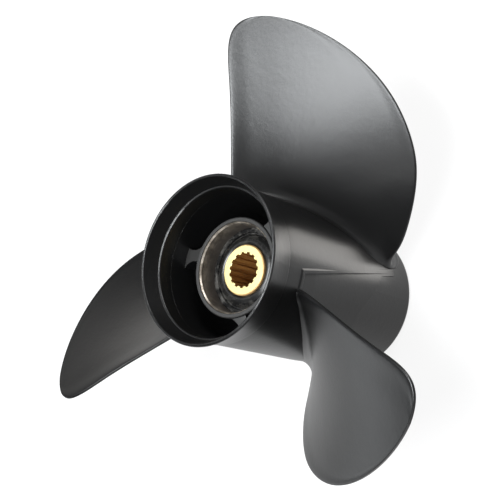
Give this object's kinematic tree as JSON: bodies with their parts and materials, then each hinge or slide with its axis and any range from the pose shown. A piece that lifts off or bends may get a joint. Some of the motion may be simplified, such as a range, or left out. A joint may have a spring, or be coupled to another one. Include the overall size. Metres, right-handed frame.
{
  "type": "boat propeller",
  "caption": "Right-hand outboard boat propeller with broad raked blades, a flared through-hub exhaust, and a splined drive sleeve in a rubber slip bush.",
  "frame": {"origin": "on the shaft axis, in the plane of the drive sleeve's forward face, where the thrust washer seats", "axes": "+Z along the shaft, pointing aft out of the flared exhaust end; +Y towards the tip of blade 1; the forward rim of the hub is down"},
  "size_m": [0.323, 0.3139, 0.173],
  "materials": {
    "painted_casting": "satin black paint over cast aluminium",
    "bush_rubber": "dark moulded rubber with a dull sheen",
    "sleeve_brass": "machined brass"
  },
  "bodies": {
    "sleeve": {"drive_sleeve": "sleeve_brass"},
    "bush": {"rubber_bush": "bush_rubber"},
    "propeller": {"hub_barrel": "painted_casting", "exhaust_flare": "painted_casting", "inner_hub": "painted_casting", "rib_1": "painted_casting", "rib_2": "painted_casting", "rib_3": "painted_casting", "blade_1": "painted_casting", "blade_2": "painted_casting", "blade_3": "painted_casting"}
  },
  "joints": [
    {"name": "cushion_twist", "type": "hinge", "parent": "sleeve", "child": "bush", "pos_m": [0, 0, 0.05], "axis": [0, 0, 1], "range_deg": [-10, 10], "stiffness_Nm_per_rad": 1100},
    {"name": "overload_slip", "type": "hinge", "parent": "bush", "child": "propeller", "pos_m": [0, 0, 0.05], "axis": [0, 0, 1], "continuous": true}
  ]
}
